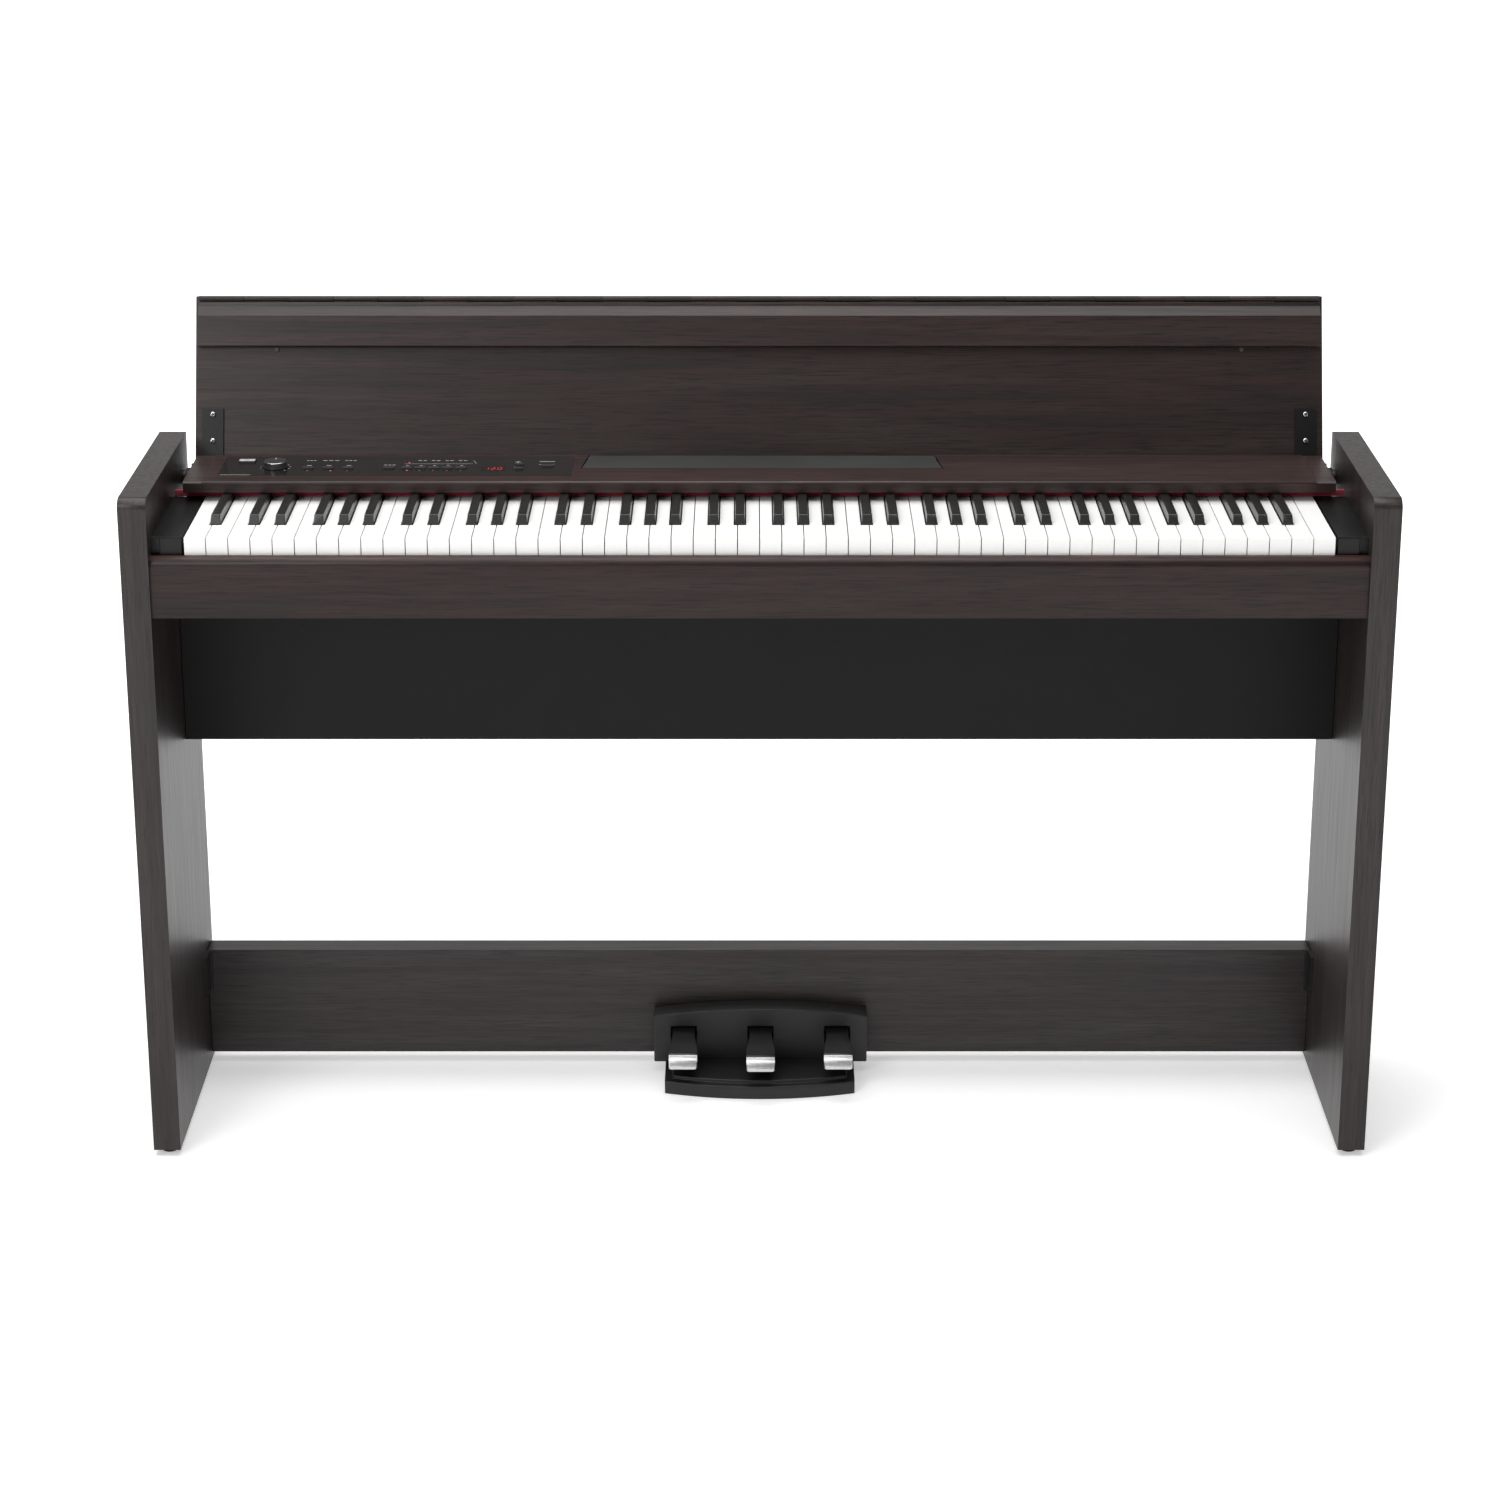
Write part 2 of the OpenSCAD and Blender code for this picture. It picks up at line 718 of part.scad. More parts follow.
// fixed end of the panel: a post, a cap level with the panel, and the pin for the lid's bracket
module hinge_housings() {
    plate_x = inner_x - 4.5;
    gap = 0.4;
    color([0.17, 0.13, 0.12]) cabinet() both_sides() {
        bar_x(housing_x[0], housing_x[1])
            polygon([
                [panel_front, panel_top - panel_t - 1.5], [panel_front, panel_top - 2],
                [panel_front + 2, panel_top], [housing_rear - 1, panel_top], [housing_rear, panel_top - 1],
                [housing_rear, pivot_z + 2], [248, pivot_z - 12], [248, keybed_top],
                [panel_wall_y, keybed_top], [panel_wall_y, panel_top - panel_t - 1.5]
            ]);
        rod_x(housing_x[1] - 1, plate_x - bracket_t - gap, pivot_y, pivot_z, boss_r);
        rod_x(housing_x[1] - 1, inner_x, pivot_y, pivot_z, lid_pin_r);
        rod_x(plate_x + gap, inner_x, pivot_y, pivot_z, boss_r);
    }
}

// ---- pedals ----

// front outline of the pedal housing, with an arched top
module housing_outline(inset) {
    half = housing_w / 2 - inset;
    arch_r = (pow(housing_w / 2, 2) + pow(housing_sag, 2)) / (2 * housing_sag);
    intersection() {
        translate([-half, pedal_gap_z + inset]) square([2 * half, housing_top - pedal_gap_z]);
        translate([0, housing_top - arch_r]) circle(arch_r - inset, $fn = 360);
    }
}

module pedal_housing() {
    slot_w = pedal_neck_w + 4;
    slot_z = [38, 61];
    color([0.07, 0.07, 0.07]) cabinet() translate([pedal_x, 0, 0])
        difference() {
            translate([0, pedal_board_y, 0]) rotate([90, 0, 0]) linear_extrude(housing_d) housing_outline(0);
            translate([0, pedal_board_y + 1, 0]) rotate([90, 0, 0]) linear_extrude(housing_d + 1 - housing_t)
                housing_outline(housing_t);
            for (i = [-1 : 1])
                block([i * pedal_pitch - slot_w / 2, i * pedal_pitch + slot_w / 2],
                    [housing_y - 1, housing_y + housing_t + 1], slot_z);
        }
}

// plan of the pedal base: straight sides and a front edge that bulges forward
module base_outline(inset) {
    half = base_w / 2 - inset;
    front = pedal_tip_y + 9;
    bulge_r = (pow(base_w / 2, 2) + pow(base_bulge, 2)) / (2 * base_bulge);
    intersection() {
        translate([-half, front - base_bulge]) square([2 * half, pedal_board_y - front + base_bulge]);
        translate([0, front - base_bulge + bulge_r]) circle(bulge_r - inset, $fn = 360);
    }
}

module pedal_base() {
    color([0.06, 0.06, 0.06]) cabinet() translate([pedal_x - 1, 0, 0]) {
        linear_extrude(base_t) base_outline(0);
        difference() {
            linear_extrude(platform_h) base_outline(platform_inset);
            block([-base_w, base_w], [housing_y, pedal_board_y + 1], [base_t, platform_h + 1]);
        }
    }
}

// one pedal: side outline and plan cut from each other, with a bored eye on the shaft
module pedal(i, forward) {
    tip = pedal_tip_y - forward;
    top_z = 50.5;
    under_z = top_z - pedal_tip_r;
    neck_y = 192;
    swell_y = 160;
    corner = 4;
    difference() {
        union() {
            intersection() {
                translate([0, 0, 20]) linear_extrude(60) {
                    translate([-pedal_neck_w / 2, swell_y]) square([pedal_neck_w, 76]);
                    polygon([
                        [-pedal_neck_w / 2, neck_y], [-pedal_w / 2, swell_y], [-pedal_w / 2, tip + corner],
                        [pedal_w / 2, tip + corner], [pedal_w / 2, swell_y], [pedal_neck_w / 2, neck_y]
                    ]);
                    translate([-pedal_w / 2 + corner, tip]) square([pedal_w - 2 * corner, corner + 1]);
                    for (side = [-1, 1])
                        translate([side * (pedal_w / 2 - corner), tip + corner]) circle(corner);
                }
                bar_x(-pedal_w, pedal_w) {
                    polygon([
                        [tip + pedal_tip_r, top_z], [pedal_pivot[0] + 6, top_z + 9.5],
                        [pedal_pivot[0] + 6, top_z - 2], [205, top_z - 4], [tip + 20, under_z],
                        [tip + pedal_tip_r - 1, under_z]
                    ]);
                    intersection() {
                        translate([tip + pedal_tip_r, top_z - pedal_tip_r]) circle(pedal_tip_r);
                        translate([tip, top_z - pedal_tip_r]) square(pedal_tip_r + eps);
                    }
                }
            }
            rod_x(-pedal_neck_w / 2, pedal_neck_w / 2, 222, pedal_pivot[1], pedal_eye_r - 2);
        }
        rod_x(-pedal_w, pedal_w, pedal_pivot[0], pedal_pivot[1], pedal_shaft_r + running_fit);
    }
}

module placed_pedal(i, forward) {
    color([0.8, 0.8, 0.82]) cabinet() translate([pedal_x + i * pedal_pitch, 0, 0]) pedal(i, forward);
}

module pedal_left() { placed_pedal(-1, 0); }
module pedal_center() { placed_pedal(0, 6); }
module pedal_right() { placed_pedal(1, 0); }

module pedal_shaft() {
    half = housing_w / 2 - housing_t;
    color([0.6, 0.6, 0.62]) cabinet() rod_x(pedal_x - half, pedal_x + half, pedal_pivot[0], pedal_pivot[1], pedal_shaft_r);
}

// one return spring under each pedal, drawn as its outer cylinder
module pedal_springs() {
    spring_y = 213;
    color([0.6, 0.6, 0.62]) cabinet()
        for (i = [-1 : 1])
            translate([pedal_x + i * pedal_pitch, spring_y, pedal_gap_z + housing_t]) cylinder(h = 24, r = 4.5);
}

// ---- electronics ----

module main_board() {
    board_x = [100, 300];
    board_y = [188, 244];
    board_z = 626;
    pcb = 1.6;
    color([0.1, 0.35, 0.15]) cabinet() {
        block(board_x, board_y, [board_z, board_z + pcb]);
        for (x = [board_x[0] + 5, board_x[1] - 5], y = [board_y[0] + 5, board_y[1] - 5])
            translate([x, y, board_z + pcb - eps]) cylinder(h = keybed_bottom - board_z - pcb + eps, r = 2.5);
        block([130, 160], [200, 225], [board_z - 2, board_z + eps]);
        block([190, 260], [205, 215], [board_z - 6, board_z + eps]);
    }
}

// two loudspeakers that hang under the keybed and face down
module speakers() {
    flange_r = 33;
    color([0.08, 0.08, 0.08]) cabinet() both_sides()
        translate([430, 214, keybed_bottom]) mirror([0, 0, 1]) {
            cylinder(h = 3, r = flange_r);
            translate([0, 0, 3 - eps]) cylinder(h = 14, r1 = flange_r - 4, r2 = 20);
            translate([0, 0, 17 - 2 * eps]) cylinder(h = 10, r = 18);
        }
}

headphone_x = [-585, -555];
headphone_r = 3.2;
socket_z = keybed_bottom - 9;
inlet_r = 2.9;
inlet_x = -330;

// headphone sockets under the front left corner, and the power inlet at the back
module socket_blocks() {
    color([0.05, 0.05, 0.05]) cabinet() {
        difference() {
            block([-602, -538], [62, 102], [keybed_bottom - 18, keybed_bottom]);
            for (x = headphone_x)
                translate([x, 61, socket_z]) rotate([-90, 0, 0]) cylinder(h = 31, r = headphone_r);
        }
        difference() {
            block([inlet_x - 20, inlet_x + 20], [216, 248], [keybed_bottom - 18, keybed_bottom]);
            translate([inlet_x, 236, socket_z]) rotate([-90, 0, 0]) cylinder(h = 13, r = inlet_r);
        }
    }
}

side_panel_left();
side_panel_right();
key_slip();
keybed();
modesty_panel();
pedal_board();
feet();
corner_brackets();
rear_cover();
key_frame();
key_pivot_shaft();
key_springs();
cheek_blocks();
name_felt();
keys_c();
keys_c_sharp();
keys_d();
keys_d_sharp();
keys_e();
keys_f();
keys_f_sharp();
keys_g();
keys_g_sharp();
keys_a();
keys_a_sharp();
keys_b();
control_panel();
control_overlay();
display_window();
volume_knob();
power_button();
touch_button();
reverb_button();
metronome_button();
song_button();
sound_button_1();
sound_button_2();
sound_button_3();
sound_button_4();
sound_button_5();
value_up_button();
value_down_button();
record_button();
music_rest();
lid();
lid_flap();
flap_hinge();
lid_hinge_brackets();
hinge_housings();
lid_bumpers();
pedal_housing();
pedal_base();
pedal_left();
pedal_center();
pedal_right();
pedal_shaft();
pedal_springs();
main_board();
speakers();
socket_blocks();
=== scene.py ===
"""Looks for the digital piano: materials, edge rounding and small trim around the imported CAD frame."""
import json
import math

import bmesh
import bpy
from mathutils import Matrix, Vector


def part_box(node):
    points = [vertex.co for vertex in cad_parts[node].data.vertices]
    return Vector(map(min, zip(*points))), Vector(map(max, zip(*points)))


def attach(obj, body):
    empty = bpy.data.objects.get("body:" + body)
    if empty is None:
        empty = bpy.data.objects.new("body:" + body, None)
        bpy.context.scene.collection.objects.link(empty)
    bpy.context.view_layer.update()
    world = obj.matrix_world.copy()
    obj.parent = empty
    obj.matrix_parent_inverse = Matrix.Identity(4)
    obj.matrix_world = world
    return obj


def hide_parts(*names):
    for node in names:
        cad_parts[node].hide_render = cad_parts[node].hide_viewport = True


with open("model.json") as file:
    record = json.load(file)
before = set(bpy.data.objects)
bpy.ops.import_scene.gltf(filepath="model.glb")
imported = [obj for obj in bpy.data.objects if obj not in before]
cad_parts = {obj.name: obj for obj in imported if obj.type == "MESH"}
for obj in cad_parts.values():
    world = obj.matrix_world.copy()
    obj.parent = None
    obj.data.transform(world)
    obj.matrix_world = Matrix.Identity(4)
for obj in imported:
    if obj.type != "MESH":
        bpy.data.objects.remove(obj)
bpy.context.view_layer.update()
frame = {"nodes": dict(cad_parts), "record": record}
nodes = frame["nodes"]

MM = 0.001
X, Z = 0, 2                                    # the axes that a grain runs along
front_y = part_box("side_panel_left")[0][1]      # the side panels' front edge
overlay_low, overlay_high = [Vector(c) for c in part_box("control_overlay")]
overlay_z = overlay_high.z


def place(x, y, z):
    """Millimetres across, back from the side panels' front edge, and up from the floor."""
    return Vector((x * MM, front_y + y * MM, z * MM))


# ---------------------------------------------------------------- material helpers

def new_material(name):
    """A new material, its node tree and its shader."""
    m = bpy.data.materials.new(name)
    m.use_nodes = True
    nt = m.node_tree
    shader = nt.nodes["Principled BSDF"]
    return m, nt, shader


def coords(nt, scale=(1, 1, 1)):
    """Object coordinates, in metres, times scale."""
    tex = nt.nodes.new("ShaderNodeTexCoord")
    mapping = nt.nodes.new("ShaderNodeMapping")
    mapping.inputs["Scale"].default_value = scale
    nt.links.new(tex.outputs["Object"], mapping.inputs["Vector"])
    return mapping.outputs["Vector"]


def noise(nt, vector, scale, detail=4.0, rough=0.55, distortion=0.0):
    n = nt.nodes.new("ShaderNodeTexNoise")
    n.inputs["Scale"].default_value = scale
    n.inputs["Detail"].default_value = detail
    n.inputs["Roughness"].default_value = rough
    n.inputs["Distortion"].default_value = distortion
    nt.links.new(vector, n.inputs["Vector"])
    return n.outputs["Fac"]


def ramp(nt, fac, stops):
    """A colour ramp; each stop is (position, colour)."""
    r = nt.nodes.new("ShaderNodeValToRGB")
    els = r.color_ramp.elements
    while len(els) < len(stops):
        els.new(0.5)
    for el, (pos, col) in zip(els, stops):
        el.position = pos
        el.color = (*col, 1.0)
    nt.links.new(fac, r.inputs["Fac"])
    return r.outputs["Color"]


def grey(v):
    return (v, v, v)


def mix(nt, a, b, fac, kind="MIX"):
    """Mixes two colour sockets; fac is a number or a socket."""
    m = nt.nodes.new("ShaderNodeMix")
    m.data_type = "RGBA"
    m.blend_type = kind
    factor, color_a, color_b, color_out = m.inputs[0], m.inputs[6], m.inputs[7], m.outputs[2]
    if hasattr(fac, "links"):
        nt.links.new(fac, factor)
    else:
        factor.default_value = fac
    nt.links.new(a, color_a)
    nt.links.new(b, color_b)
    return color_out


def map_range(nt, value, from_range=(0.0, 1.0), to_range=(0.0, 1.0)):
    """Carries a value from one range to another and keeps it inside."""
    m = nt.nodes.new("ShaderNodeMapRange")
    m.inputs["From Min"].default_value, m.inputs["From Max"].default_value = from_range
    m.inputs["To Min"].default_value, m.inputs["To Max"].default_value = to_range
    nt.links.new(value, m.inputs["Value"])
    return m.outputs["Result"]


def bump(nt, shader, height, strength, distance):
    b = nt.nodes.new("ShaderNodeBump")
    b.inputs["Strength"].default_value = strength
    b.inputs["Distance"].default_value = distance
    nt.links.new(height, b.inputs["Height"])
    nt.links.new(b.outputs["Normal"], shader.inputs["Normal"])


def along(axis, grain, across):
    """Texture scale that stretches a pattern along one axis."""
    return tuple(grain if i == axis else across for i in range(3))


# how often a pattern repeats in a metre, along the grain and across it
fibre_scale = (5.0, 190.0)
band_scale = (1.6, 26.0)
pore_scale = (22.0, 700.0)
brushed_scale = (30.0, 1600.0)


def wood(name, axis, dark, light, rough=(0.34, 0.46), red=0.5, specular=0.4):
    """Printed rosewood laminate: long fine fibres, broad darker bands and short open pores."""
    m, nt, sh = new_material(name)
    fibre_v = coords(nt, along(axis, *fibre_scale))
    band_v = coords(nt, along(axis, *band_scale))
    pore_v = coords(nt, along(axis, *pore_scale))
    fibre = noise(nt, fibre_v, 1.0, 8.0, 0.66, 0.25)
    band = noise(nt, band_v, 1.0, 5.0, 0.55, 0.9)
    pore = noise(nt, pore_v, 1.0, 3.0, 0.6)
    mid = [(a + b) / 2 for a, b in zip(dark, light)]
    warm = (mid[0] * (1.0 + red), mid[1] * 0.82, mid[2] * 0.78)
    base = ramp(nt, fibre, [(0.36, dark), (0.50, mid), (0.64, light)])
    tone = ramp(nt, band, [(0.38, dark), (0.50, warm), (0.62, light)])
    col = mix(nt, base, tone, 0.5)
    pores = ramp(nt, pore, [(0.38, grey(0.30)), (0.48, grey(1.0))])
    col = mix(nt, col, pores, 0.9, "MULTIPLY")
    nt.links.new(col, sh.inputs["Base Color"])
    smoothest, roughest = rough
    r = ramp(nt, fibre, [(0.3, grey(roughest)), (0.7, grey(smoothest))])
    nt.links.new(r, sh.inputs["Roughness"])
    sh.inputs["Specular IOR Level"].default_value = specular
    bump(nt, sh, pore, 0.12, 0.3 * MM)
    return m


def moulded(name, color, rough=0.45, grain=2600.0, bump_strength=0.12, variation=0.12, specular=0.5):
    """Moulded plastic: fine texture in the mould and slight unevenness of tone."""
    m, nt, sh = new_material(name)
    v = coords(nt)
    fine = noise(nt, v, grain, 2.0, 0.5)
    broad = noise(nt, v, 14.0, 3.0, 0.5)
    lo = [c * (1 - variation) for c in color]
    hi = [c * (1 + variation) for c in color]
    nt.links.new(ramp(nt, broad, [(0.35, lo), (0.65, hi)]), sh.inputs["Base Color"])
    r = ramp(nt, fine, [(0.3, grey(rough * 0.9)), (0.7, grey(min(1.0, rough * 1.12)))])
    nt.links.new(r, sh.inputs["Roughness"])
    sh.inputs["Specular IOR Level"].default_value = specular
    bump(nt, sh, fine, bump_strength, 0.15 * MM)
    return m


# painted light: upward faces are drawn paler than the sides
turned_up = (0.55, 0.95)                       # a normal's Z where the paler tone starts and is full


def paint_lit_tops(material, gain):
    """Makes a material's upward faces paler than its sides: painted light, as if light from above falls on
    them.
    """
    nt = material.node_tree
    shader = nt.nodes["Principled BSDF"]
    base = shader.inputs["Base Color"].links[0].from_socket
    facing = nt.nodes.new("ShaderNodeNewGeometry")
    parts = nt.nodes.new("ShaderNodeSeparateXYZ")
    nt.links.new(facing.outputs["Normal"], parts.inputs["Vector"])
    up = map_range(nt, parts.outputs["Z"], turned_up)
    tone = ramp(nt, up, [(0.0, grey(1.0 / gain)), (1.0, grey(1.0))])
    pale = nt.nodes.new("ShaderNodeVectorMath")
    pale.operation = "SCALE"
    pale.inputs["Scale"].default_value = gain
    nt.links.new(base, pale.inputs[0])
    nt.links.new(mix(nt, pale.outputs["Vector"], tone, 1.0, "MULTIPLY"), shader.inputs["Base Color"])
    return material


def metal(name, color, rough):
    """Bare metal with fine brush marks along X."""
    m, nt, sh = new_material(name)
    streak = noise(nt, coords(nt, along(X, *brushed_scale)), 1.0, 4.0, 0.6)
    lo = [c * 0.9 for c in color]
    nt.links.new(ramp(nt, streak, [(0.3, lo), (0.7, color)]), sh.inputs["Base Color"])
    r = ramp(nt, streak, [(0.3, grey(rough * 1.25)), (0.7, grey(rough * 0.85))])
    nt.links.new(r, sh.inputs["Roughness"])
    sh.inputs["Metallic"].default_value = 1.0
    bump(nt, sh, streak, 0.05, 0.1 * MM)
    return m


def pedal_metal(name, neck_y):
    """Polished metal tip in front of neck_y, and a black non-metallic neck behind it, a painted dark
    reflection of the dark parts above.
    """
    m, nt, sh = new_material(name)
    v = coords(nt)
    depth = nt.nodes.new("ShaderNodeSeparateXYZ")
    nt.links.new(v, depth.inputs["Vector"])
    neck = map_range(nt, depth.outputs["Y"], (neck_y, neck_y + 0.5 * MM))
    fine = noise(nt, v, 260.0, 3.0)
    bright = ramp(nt, fine, [(0.3, grey(0.58)), (0.7, grey(0.70))])
    # the black neck is a painted dark reflection, not a coating
    dark = ramp(nt, fine, [(0.3, grey(0.007)), (0.7, grey(0.010))])
    nt.links.new(mix(nt, bright, dark, neck), sh.inputs["Base Color"])
    shiny = ramp(nt, fine, [(0.3, grey(0.36)), (0.7, grey(0.42))])
    satin = ramp(nt, fine, [(0.3, grey(0.34)), (0.7, grey(0.40))])
    nt.links.new(mix(nt, shiny, satin, neck), sh.inputs["Roughness"])
    tip = map_range(nt, neck, to_range=(1.0, 0.0))
    nt.links.new(tip, sh.inputs["Metallic"])
    bump(nt, sh, fine, 0.03, 0.1 * MM)
    return m


def felt(name, color):
    """Matted wool with a soft nap."""
    m, nt, sh = new_material(name)
    fibre = noise(nt, coords(nt), 1800.0, 6.0, 0.7)
    lo = [c * 0.55 for c in color]
    nt.links.new(ramp(nt, fibre, [(0.3, lo), (0.7, color)]), sh.inputs["Base Color"])
    nt.links.new(ramp(nt, fibre, [(0.3, grey(0.95)), (0.7, grey(0.85))]), sh.inputs["Roughness"])
    sh.inputs["Sheen Weight"].default_value = 0.5
    sh.inputs["Sheen Roughness"].default_value = 0.5
    bump(nt, sh, fibre, 0.6, 0.5 * MM)
    return m


def glow(name, color, strength):
    """A lamp, or a printed mark with a faint painted glow, with a faint grain so that it isn't flat."""
    m, nt, sh = new_material(name)
    fine = noise(nt, coords(nt), 900.0, 2.0)
    lo = [c * 0.85 for c in color]
    tint = ramp(nt, fine, [(0.3, lo), (0.7, color)])
    nt.links.new(tint, sh.inputs["Base Color"])
    nt.links.new(tint, sh.inputs["Emission Color"])
    sh.inputs["Emission Strength"].default_value = strength
    nt.links.new(ramp(nt, fine, [(0.3, grey(0.4)), (0.7, grey(0.5))]), sh.inputs["Roughness"])
    return m


# behind the metal tip, the pedal's neck is painted dark reflection
tip_len = 9.0                                  # bright length of a pedal's tip, in mm
materials = {
    # rosewood_across: its upward faces, the key slip's top, get painted light
    "rosewood_across": paint_lit_tops(
        wood("rosewood_across", X, (0.0074, 0.0042, 0.0036), (0.0235, 0.0132, 0.0112), specular=0.3), 2.4),
    "rosewood_panel": wood("rosewood_panel", X, (0.0100, 0.0058, 0.0050), (0.038, 0.0235, 0.0205)),
    "rosewood_lid": wood("rosewood_lid", X, (0.0072, 0.0044, 0.0036), (0.030, 0.0195, 0.0160), red=0.35),
    "rosewood_low": wood("rosewood_low", X, (0.0085, 0.0062, 0.0064), (0.028, 0.0215, 0.0220), red=0.2),
    "rosewood_upright": wood(
        "rosewood_upright", Z, (0.0085, 0.0065, 0.0062), (0.029, 0.0230, 0.0215), red=0.2),
    "board": wood("bare_board", X, (0.050, 0.034, 0.022), (0.110, 0.080, 0.052), (0.7, 0.8), 0.1),
    "black_laminate": moulded("black_laminate", (0.0032, 0.0032, 0.0034), 0.5, 1500.0, 0.08, specular=0.20),
    "black_plastic": moulded("black_plastic", (0.0100, 0.0100, 0.0103), 0.42, specular=0.4),
    # housing_plastic: its upward faces, the pedal housing's brow, get painted light
    "housing_plastic": paint_lit_tops(
        moulded("housing_plastic", (0.0100, 0.0100, 0.0103), 0.42, specular=0.4), 3.0),
    "hinge_paint": moulded("hinge_paint", (0.020, 0.017, 0.016), 0.5, 1500.0, 0.1, specular=0.3),
    "knob_plastic": moulded("knob_plastic", (0.030, 0.030, 0.031), 0.30, 1500.0, 0.06),
    "cheek_plastic": moulded("cheek_plastic", (0.0070, 0.0070, 0.0072), 0.38, specular=0.28),
    "black_steel": moulded("black_steel", (0.0065, 0.0065, 0.0070), 0.34, 3200.0, 0.2, specular=0.3),
    "rubber": moulded("rubber", (0.02, 0.02, 0.02), 0.8, 900.0, 0.3),
    "pad": moulded("grey_pad", (0.055, 0.052, 0.050), 0.6, 900.0, 0.2),
    "zinc": metal("zinc_sheet", (0.55, 0.56, 0.58), 0.32),
    "steel": metal("bright_steel", (0.62, 0.62, 0.63), 0.2),
    "pedal_outer": pedal_metal("pedal_outer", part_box("pedal_left")[0][1] + tip_len * MM),
    "pedal_middle": pedal_metal("pedal_middle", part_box("pedal_center")[0][1] + tip_len * MM),
    "felt": felt("red_felt", (0.52, 0.034, 0.070)),
    "gloss": moulded("gloss_black", (0.0120, 0.0105, 0.0100), 0.16, 400.0, 0.02),
    "display": moulded("display_window", (0.020, 0.0045, 0.0045), 0.1, 500.0, 0.02),
    "button": moulded("button_plastic", (0.030, 0.029, 0.029), 0.36),
    # pale: the knob's printed pointer, and the painted highlight on the power button
    "pale_mark_and_painted_highlight": moulded("pale_mark_and_painted_highlight", (0.50, 0.50, 0.49), 0.34, 1800.0, 0.08),
    "rest": moulded("rest_plastic", (0.030, 0.031, 0.030), 0.36, 2200.0, 0.1),
    "circuit": moulded("circuit_board", (0.005, 0.022, 0.010), 0.4, 700.0, 0.15),
    "key_white": moulded("key_white", (0.88, 0.88, 0.86), 0.22, 1200.0, 0.02, 0.015),
    "key_black": moulded("key_black", (0.0110, 0.0110, 0.0106), 0.29, 1800.0, 0.06, specular=0.65),
    # the printed marks give off a faint painted glow, though they are no lamp
    "print": glow("printed_grey", (0.38, 0.37, 0.36), 0.02),
    "lamp": glow("red_lamp", (0.66, 0.050, 0.080), 0.34),
    "lamp_off": glow("unlit_lamp", (0.18, 0.012, 0.014), 0.02),
    # dark: painted shade in the screws' cross recesses, and the printed power symbol
    "recess": moulded("recess_shade_and_print", (0.008, 0.008, 0.008), 0.6, 900.0, 0.1),
}

# ---------------------------------------------------------------- the CAD nodes' materials and edges

looks = {
    "side_panel_left": "rosewood_upright", "side_panel_right": "rosewood_upright",
    "key_slip": "rosewood_across", "pedal_board": "rosewood_low", "lid": "rosewood_lid",
    "lid_flap": "rosewood_lid", "control_panel": "rosewood_panel", "keybed": "board",
    "modesty_panel": "black_laminate", "rear_cover": "black_laminate", "feet": "rubber",
    "corner_brackets": "black_steel", "lid_hinge_brackets": "black_steel",
    "flap_hinge": "hinge_paint", "key_frame": "zinc", "key_pivot_shaft": "steel",
    "key_springs": "steel", "pedal_shaft": "black_steel", "pedal_springs": "steel",
    "cheek_blocks": "cheek_plastic", "hinge_housings": "rosewood_panel", "name_felt": "felt",
    "control_overlay": "gloss", "display_window": "display", "volume_knob": "knob_plastic",
    "power_button": "button", "music_rest": "rest", "lid_bumpers": "pad",
    "pedal_housing": "housing_plastic", "pedal_base": "black_plastic", "pedal_left": "pedal_outer",
    "pedal_center": "pedal_middle", "pedal_right": "pedal_outer", "main_board": "circuit",
    "speakers": "black_plastic", "socket_blocks": "black_plastic",
}
for node in nodes:
    if node.startswith("keys_"):
        looks[node] = "key_black" if node.endswith("sharp") else "key_white"
    elif node not in looks:
        looks[node] = "button"

# edge rounding in millimetres, where the real edge catches light
rounding = {
    "side_panel_left": 1.2, "side_panel_right": 1.2, "key_slip": 1.0, "pedal_board": 1.2, "lid": 1.2,
    "lid_flap": 0.8, "control_panel": 0.5, "modesty_panel": 0.8, "music_rest": 0.6,
    "control_overlay": 0.5, "volume_knob": 0.4, "hinge_housings": 1.5,
    "cheek_blocks": 0.8, "pedal_housing": 1.2, "pedal_base": 1.5, "lid_hinge_brackets": 0.4,
    "feet": 0.8, "socket_blocks": 0.8, "speakers": 0.5, "lid_bumpers": 0.5,
    "pedal_left": 1.6, "pedal_center": 1.6, "pedal_right": 1.6,
}
key_rounding = 0.7
button_rounding = 0.35


def round_edges(o, width):
    """Rounds the edges sharper than 35 degrees; width in millimetres."""
    weld = o.modifiers.new("weld", "WELD")
    weld.merge_threshold = 0.01 * MM
    bev = o.modifiers.new("rounded_edges", "BEVEL")
    bev.width = width * MM
    bev.segments = 3
    bev.limit_method = "ANGLE"
    bev.angle_limit = math.radians(35)
    bev.use_clamp_overlap = True
    bev.harden_normals = True


for node, o in nodes.items():
    look = materials[looks[node]]
    if o.data.materials:
        for i in range(len(o.data.materials)):
            o.data.materials[i] = look
    else:
        o.data.materials.append(look)
    if node.startswith("keys_"):
        width = key_rounding
    elif looks[node] == "button":
        width = button_rounding
    else:
        width = rounding.get(node, 0.0)
    if width:
        round_edges(o, width)

# ---------------------------------------------------------------- trim: prints, lamps and screws

def centre(node):
    """Middle of a CAD node's box, at the height of its top, in metres."""
    low, high = [Vector(c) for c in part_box(node)]
    mid = (low + high) / 2
    return Vector((mid.x, mid.y, high.z))


